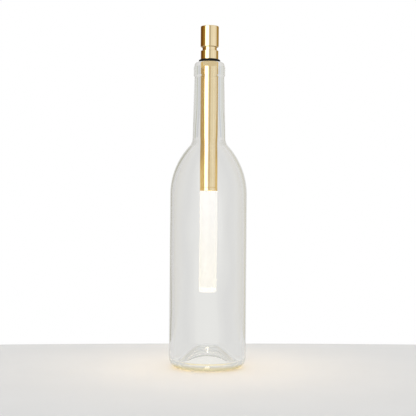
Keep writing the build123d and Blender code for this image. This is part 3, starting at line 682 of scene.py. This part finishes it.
def make_collar():
    """Spigot, mouth-ring gland, wide band, neck with a seal gland, and the spindle's plain wall."""
    band, foot = radius_of("collar"), high_z("neck_ring") + RING_SLACK
    top = low_z("cap_shell") - NECK_SHOWN
    gland_floor = radius_of("neck_ring") - RING_CORD - PRESS_GAP
    spigot_foot, spindle_top = low_z("collar"), high_z("collar")
    seal_low, seal_high = low_z("cap_seal") - RING_SLACK, high_z("cap_seal") + RING_SLACK
    seal_floor = radius_of("cap_seal") - SEAL_CORD - PRESS_GAP
    neck_top = low_z("cap_washer") - PRESS_GAP
    casing_top = high_z("casing_tube")
    collar = turned("collar_turned", [
        (COLLAR_BORE, spigot_foot, BREAK_EDGE), (SPIGOT_RADIUS, spigot_foot, BREAK_EDGE),
        (SPIGOT_RADIUS, casing_top), (gland_floor, casing_top), (gland_floor, foot, BREAK_EDGE),
        (band, foot, COLLAR_EDGE_ROUND), (band, top, COLLAR_EDGE_ROUND),
        (NECK_RADIUS, top, NECK_ROOT_ROUND),
        (NECK_RADIUS, seal_low, BREAK_EDGE), (seal_floor, seal_low, BREAK_EDGE),
        (seal_floor, seal_high, BREAK_EDGE), (NECK_RADIUS, seal_high, BREAK_EDGE),
        (NECK_RADIUS, neck_top, 2 * BREAK_EDGE), (THREAD_ROOT, neck_top, BREAK_EDGE),
        (THREAD_ROOT, spindle_top, THREAD_DEPTH), (SPINDLE_BORE, spindle_top, BREAK_EDGE),
        (SPINDLE_BORE, top - COLLAR_WEB, BREAK_EDGE), (COLLAR_BORE, top - COLLAR_WEB, BREAK_EDGE)],
        steps=BRASS_STEPS)
    dress(collar, "polished_brass", "light", "collar")


def make_thread(start, index):
    """A ridge that winds up the spindle, a low trapezoid whose ends run into the wall.

    At share s of its height H it stands at angle 2 pi (s H / lead + start) and height s H. Over the
    run-in at each end its crest grows out of the wall and widens.
    """
    share = np.linspace(0, 1, THREAD_ROWS)[:, None]
    grown = np.clip(np.minimum(share, 1 - share) / THREAD_RUN_IN, 0, 1) ** THREAD_RUN_IN_CURVE
    sides = np.array([-1, -1, 1, 1])[None, :]
    root = np.array([1, 0, 0, 1])[None, :]
    width = np.where(root == 1, THREAD_ROOT_WIDTH, THREAD_CREST_WIDTH * grown)
    radius = THREAD_ROOT - THREAD_SUNK + (1 - root) * grown * (THREAD_DEPTH + THREAD_SUNK)
    angle = 2 * math.pi * (share * THREAD_HEIGHT / THREAD_LEAD + start)
    z = low_z("cap_washer") + THREAD_RISE + share * THREAD_HEIGHT + sides * width / 2
    points = np.stack([radius * np.cos(angle), radius * np.sin(angle), z], -1).reshape(-1, 3)
    last = (THREAD_ROWS - 1) * 4
    ends = np.array([[0, 1, 2, 3], [last + 3, last + 2, last + 1, last]])
    quads = np.concatenate([grid_faces(THREAD_ROWS, 4, False)[:, ::-1], ends])
    ridge = build(f"spindle_thread_{index}", points, quads)
    ridge.data.polygons.foreach_set("use_smooth", np.zeros(len(ridge.data.polygons), bool))
    dress(ridge, "polished_brass", "light")


def ring_outline(radius, z, cord):
    """A cord's round section, with a thin flash line outside and inside, where its mould closed."""
    around = np.linspace(0, 2 * math.pi, CORD_STEPS, endpoint=False)
    reach = cord / 2 + FLASH_HEIGHT * (np.exp(-(np.sin(around) / FLASH_ANGLE) ** 2) - 0.5)
    heading = np.exp(1j * around)
    return complex(radius, z) + reach * heading, 1j * heading


def make_ring(node, cord):
    """A rubber ring with the faint line that its mould leaves."""
    outline = ring_outline(radius_of(node) - cord / 2, (low_z(node) + high_z(node)) / 2, cord)
    dress(build(node + "_moulded", *turn(outline, RUBBER_STEPS)), "black_rubber", "light", node)


def chamfered_outside(outer, low, high, edge):
    """Corners up the outside of a tube from end to end, each end with a chamfer."""
    return [(outer - edge, low, BREAK_EDGE / 2), (outer, low + edge, BREAK_EDGE / 2),
            (outer, high - edge, BREAK_EDGE / 2), (outer - edge, high, BREAK_EDGE / 2)]


def make_tube():
    """The long brass tube that holds the cell."""
    outer, low, high = radius_of("casing_tube"), low_z("casing_tube"), high_z("casing_tube")
    tube = turned("casing_tube_drawn", [
        (CASING_BORE, low), *chamfered_outside(outer, low, high, CASING_EDGE), (CASING_BORE, high)],
        steps=BRASS_STEPS)
    dress(tube, "polished_brass", "light", "casing_tube")


def make_ferrule():
    """The brass ring that closes the tube's foot, a hair prouder than the tube."""
    outer, low, high = radius_of("ferrule"), low_z("ferrule"), low_z("casing_tube")
    spigot_top = high_z("ferrule")
    ferrule = turned("ferrule_turned", [
        (FERRULE_BORE, low), *chamfered_outside(outer, low, high, FERRULE_EDGE), (SPIGOT_RADIUS, high),
        (SPIGOT_RADIUS, spigot_top), (FERRULE_BORE, spigot_top)], steps=BRASS_STEPS)
    dress(ferrule, "polished_brass", "light", "ferrule")


def make_diffuser():
    """The opal tube and the plug that closes its foot, whose edge is rounded over."""
    outer, foot = radius_of("diffuser_tube"), low_z("diffuser_end")
    plug_top, head, neck_top = high_z("diffuser_end"), low_z("diffuser_gasket"), high_z("diffuser_tube")
    low, plug = plug_top - END_SPIGOT, DIFFUSER_BORE - PRESS_GAP
    tube = turned("diffuser_tube_opal", [
        (DIFFUSER_BORE, low), (outer, low, BREAK_EDGE), (outer, head, DIFFUSER_EDGE_ROUND),
        (DIFFUSER_NECK, head), (DIFFUSER_NECK, neck_top), (DIFFUSER_BORE, neck_top)],
        steps=OPAL_STEPS, spacing=OPAL_SPACING)
    end = turned("diffuser_end_opal", [
        (0, foot), (outer, foot, END_ROUND), (outer, low, BREAK_EDGE), (plug, low), (plug, plug_top),
        (0, plug_top)], steps=OPAL_STEPS, closed=False)
    dress(tube, "opal_acrylic", "light", "diffuser_tube", opal_acrylic("opal tube", foot, head, TUBE_GLOW))
    dress(end, "opal_acrylic", "light", "diffuser_end", opal_acrylic("opal end", foot, head, END_GLOW))


make_cap_shell()
make_collar()
for i in range(THREAD_STARTS):
    make_thread(i / THREAD_STARTS, i)
make_ring("neck_ring", RING_CORD)
make_ring("cap_seal", SEAL_CORD)
make_tube()
make_ferrule()
make_diffuser()

# The pieces inside keep their CAD shape and get their finish

slots = {part["node"]: part["material_slot"] for part in frame["record"]["subparts"]}
for node, piece in frame["nodes"].items():
    if not piece.hide_render:
        paint(piece, finishes[slots[node]])


# Stage: a table top in metres, with a painted glow of lamp light by its reach from the bottle's axis where
# glass shows it
TABLE_RADIUS = 2.93
TABLE_EDGE_Y = 0.185
TABLE_TURN = math.radians(3.5)
TABLE_THICKNESS = 0.03
TABLE_EDGE_ROUND = 0.004
TABLE_MOTTLE = 60.0 * MM
TABLE_WHITE = ((0.3, (0.694, 0.698, 0.697)), (0.7, (0.706, 0.71, 0.71)))
TABLE_GLOW_REACH = 70.0 * MM
# Painted glow of the table through glass: cream pool of lamp light near the axis, grey further out
TABLE_PAINTED_GLOW_THROUGH_HEEL = ((0.0, (1.0, 0.97, 0.89)), (0.46, (1.0, 0.97, 0.89)),
                      (0.58, (0.92, 0.89, 0.82)), (0.74, (0.775, 0.77, 0.76)))
TABLE_PAINTED_GLOW_THROUGH_BOTTLE = ((0.0, (0.93, 0.91, 0.87)), (0.3, (0.9, 0.885, 0.85)), (0.46, (0.84, 0.83, 0.8)),
                        (0.74, (0.775, 0.77, 0.76)))

# The room round the horizon, as (bearing in degrees, colour): 0 is the front, -y, and 90 is +x
SOFTBOX = 3.2
SOFTBOX_WHITE = (SOFTBOX, SOFTBOX, SOFTBOX)
WHITE_WALL = (0.86, 0.86, 0.86)
STUDIO_BEARINGS = [
    (-180, WHITE_WALL), (-160, WHITE_WALL), (-146, (0.16, 0.075, 0.01)), (-108, (0.17, 0.08, 0.01)),
    (-93, (0.27, 0.15, 0.03)), (-74, (0.36, 0.21, 0.04)), (-57, (0.55, 0.42, 0.26)),
    (-51, SOFTBOX_WHITE), (-18, SOFTBOX_WHITE), (-11, (1.1, 1.1, 1.1)), (-4, (0.8, 0.8, 0.83)),
    (5, (0.46, 0.46, 0.45)), (10, (0.55, 0.56, 0.58)), (17, (0.86, 0.9, 0.96)), (30, (0.92, 0.97, 1.08)),
    (40, (0.86, 0.9, 1.0)), (54, (1.0, 1.06, 1.2)), (66, (0.9, 0.95, 1.05)), (91, (0.85, 0.87, 0.95)),
    (101, (0.42, 0.31, 0.12)), (148, (0.38, 0.25, 0.06)), (160, WHITE_WALL), (180, WHITE_WALL)]
STUDIO_SLOPE = (0.6, 0.8)
PALE_GREY = (0.78, 0.78, 0.77)
LEFT_GREY = (0.62, 0.63, 0.64)
RIGHT_GREY = (0.64, 0.66, 0.68)
WALL_BEARINGS = [
    (-180, PALE_GREY), (-170, (0.76, 0.76, 0.74)), (-164, (0.5, 0.51, 0.42)), (-154, (0.52, 0.53, 0.45)),
    (-147, PALE_GREY), (-130, LEFT_GREY), (-108, LEFT_GREY), (-100, PALE_GREY), (100, PALE_GREY),
    (108, RIGHT_GREY), (130, RIGHT_GREY), (141, PALE_GREY), (150, (0.72, 0.73, 0.69)),
    (163, (0.66, 0.67, 0.62)), (170, (0.77, 0.77, 0.76)), (180, PALE_GREY)]
WALL_UPWARD = (0.3, 0.45)
WALL_DOWNWARD = (0.165, 0.2)

# The room through glass: the backdrop by its bearing off the back, +y, and brass's least mirroring
BACKDROP_REACH = math.radians(6)
GLASS_BACKDROP = ((0.0, (0.78, 0.775, 0.765)), (0.2, (0.765, 0.76, 0.752)), (0.45, (0.76, 0.755, 0.75)),
                  (0.57, (0.785, 0.78, 0.77)), (0.67, (0.8, 0.795, 0.785)), (0.76, (0.84, 0.835, 0.82)),
                  (1.0, (0.85, 0.845, 0.83)))
BRASS_THROUGH_GLASS = (0.77, 0.66, 0.4)
BRASS_SLOPE = (0.04, 0.075)
BRASS_SLOPE_SHARE = 0.52

# Surfaces that a ray has crossed: one to three within glass, as middle and slack, a wall and back, and
# the fewest up to a far wall's inside
IN_GLASS = (2, 1.1)
WALL_AND_BACK = 4
FAR_WALL = 3

# Camera in metres, and the bounces that light needs to cross both walls and come back
CAMERA_PLACE = (-0.0004, -1.0336, 0.1565)
CAMERA_ROLL = math.radians(-0.45)
CAMERA_LENS = 91.0
CAMERA_FILM = 36.0
CAMERA_NEAR = 0.01
LIGHT_BOUNCES = 32


def make_table():
    """A pale round table top whose far edge shows behind the bottle.

    Through glass it gives out a painted glow instead of its own shading: a painted pool of the lamp's
    light, cream near the bottle's axis, and the backdrop's grey further out. Light that has crossed
    three surfaces or more meets the duller of its two ramps.
    """
    table = turned("table_top", [
        (0, 0), (TABLE_RADIUS, 0, TABLE_EDGE_ROUND), (TABLE_RADIUS, -TABLE_THICKNESS, TABLE_EDGE_ROUND),
        (0, -TABLE_THICKNESS)], steps=TABLE_STEPS, closed=False)
    table.location = (TABLE_RADIUS * math.sin(TABLE_TURN),
                      TABLE_EDGE_Y - TABLE_RADIUS * math.cos(TABLE_TURN), 0)
    f = Finish("table paint", Roughness=0.8, Specular_IOR_Level=0.0)
    f.feed(f.colours(f.noise(TABLE_MOTTLE, detail=4), *TABLE_WHITE), "Base Color")
    place = f.add("VectorMath", {0: f.spot(), 1: table.location}, operation="ADD").outputs["Vector"]
    reach = f.add("VectorMath", {0: place}, operation="LENGTH").outputs["Value"]
    share = f.between(reach, 0.0, 1.0, 0.0, TABLE_GLOW_REACH)
    path = f.add("LightPath").outputs
    deep = f.at_least(path["Transmission Depth"], FAR_WALL)
    # Painted glow: where glass shows the table, it gives out a pool of lamp light in place of its shading
    level = f.blended(deep, f.colours(share, *TABLE_PAINTED_GLOW_THROUGH_HEEL), f.colours(share, *TABLE_PAINTED_GLOW_THROUGH_BOTTLE))
    f.show(f.mixed(path["Is Transmission Ray"], f.shader.outputs["BSDF"], f.glow(level)))
    f.material.cycles.emission_sampling = "NONE"
    table.data.materials.append(f.material)


class Room(Nodes):
    """The world, emptied, with calls for what shines in it."""

    def __init__(self, name):
        world = bpy.data.worlds.new(name)
        bpy.context.scene.world = world
        world.use_nodes = True
        self.tree = world.node_tree
        for node in list(self.tree.nodes):
            self.tree.nodes.remove(node)

    def backdrop(self, colour, strength=1.0):
        return self.add("Background", {"Color": colour, "Strength": strength}).outputs["Background"]

    def horizon(self, share, stops, top=1.0):
        """A ramp round the horizon from (bearing, colour) stops, in shares of the brightest."""
        return self.colours(share, *(((angle + 180) / 360, [c / top for c in colour])
                                     for angle, colour in stops))

    def near(self, count, value, slack=0.5):
        """1 where a number is within the slack of a value, and else 0."""
        return self.math("COMPARE", count, value, slack)

    def product(self, *shares):
        """The shares, multiplied."""
        whole = shares[0]
        for share in shares[1:]:
            whole = self.math("MULTIPLY", whole, share)
        return whole


def make_room():
    """White for the camera, a little lower through glass, and softboxes with dark gaps between them for
    what the brass mirrors.

    A ray that one mirror turned, outside the glass or through a wall and back, sees the studio, which
    is never darker through the wall than soft gold. A ray that one of the glass's own surfaces turned
    sees the greys of WALL_BEARINGS. Any other ray that glass or a mirror turned sees the backdrop's
    level, and the camera white.
    """
    room = Room("studio")
    way = room.add("SeparateXYZ", {0: room.add("TexCoord").outputs["Generated"]}).outputs
    bearing = room.math("ARCTAN2", way["X"], room.math("MULTIPLY", way["Y"], -1.0))
    share = room.between(bearing, 0.0, 1.0, -math.pi, math.pi)
    path = room.add("LightPath").outputs
    mirrors, surfaces = path["Glossy Depth"], path["Transmission Depth"]
    one_mirror = room.near(mirrors, 1)
    outside = room.near(surfaces, 0)
    in_glass = room.near(surfaces, *IN_GLASS)
    through = room.near(surfaces, WALL_AND_BACK)

    off_behind = room.math("SUBTRACT", math.pi, room.math("ABSOLUTE", bearing))
    behind = room.between(off_behind, 1.0, 0.0, 0.0, BACKDROP_REACH)
    turned_ray = room.math("MINIMUM", room.math("ADD", mirrors, surfaces), 1.0)
    level = room.mixed(turned_ray, room.backdrop(rgb(1, 1, 1)),
                       room.backdrop(room.colours(behind, *GLASS_BACKDROP)))

    downward = room.math("MULTIPLY", way["Z"], -1.0)
    flat = room.product(room.between(way["Z"], 1.0, 0.0, *WALL_UPWARD),
                        room.between(downward, 1.0, 0.0, *WALL_DOWNWARD))
    walls = room.mixed(room.product(one_mirror, in_glass, flat), level,
                       room.backdrop(room.horizon(share, WALL_BEARINGS)))

    gold = rgb(*(c / SOFTBOX for c in BRASS_THROUGH_GLASS))
    lit = room.product(through, room.between(way["Z"], 1.0, BRASS_SLOPE_SHARE, *BRASS_SLOPE))
    studio = room.blended(lit, room.horizon(share, STUDIO_BEARINGS, SOFTBOX), gold, "LIGHTEN")
    steepness = room.math("ABSOLUTE", way["Z"])
    on_brass = room.product(one_mirror, room.math("ADD", outside, through),
                            room.between(steepness, 1.0, 0.0, *STUDIO_SLOPE))
    room.add("OutputWorld", {"Surface": room.mixed(on_brass, walls, room.backdrop(studio, SOFTBOX))})


def make_camera():
    camera = bpy.data.objects.new("camera", bpy.data.cameras.new("camera"))
    camera.data.lens = CAMERA_LENS
    camera.data.sensor_width = CAMERA_FILM
    camera.data.clip_start = CAMERA_NEAR
    camera.location = CAMERA_PLACE
    camera.rotation_euler = (math.pi / 2, CAMERA_ROLL, 0)
    bpy.context.scene.collection.objects.link(camera)
    bpy.context.scene.camera = camera


make_table()
make_room()
make_camera()
scene = bpy.context.scene
scene.view_settings.view_transform = "Standard"
scene.cycles.max_bounces = LIGHT_BOUNCES
scene.cycles.glossy_bounces = LIGHT_BOUNCES
scene.cycles.transmission_bounces = LIGHT_BOUNCES
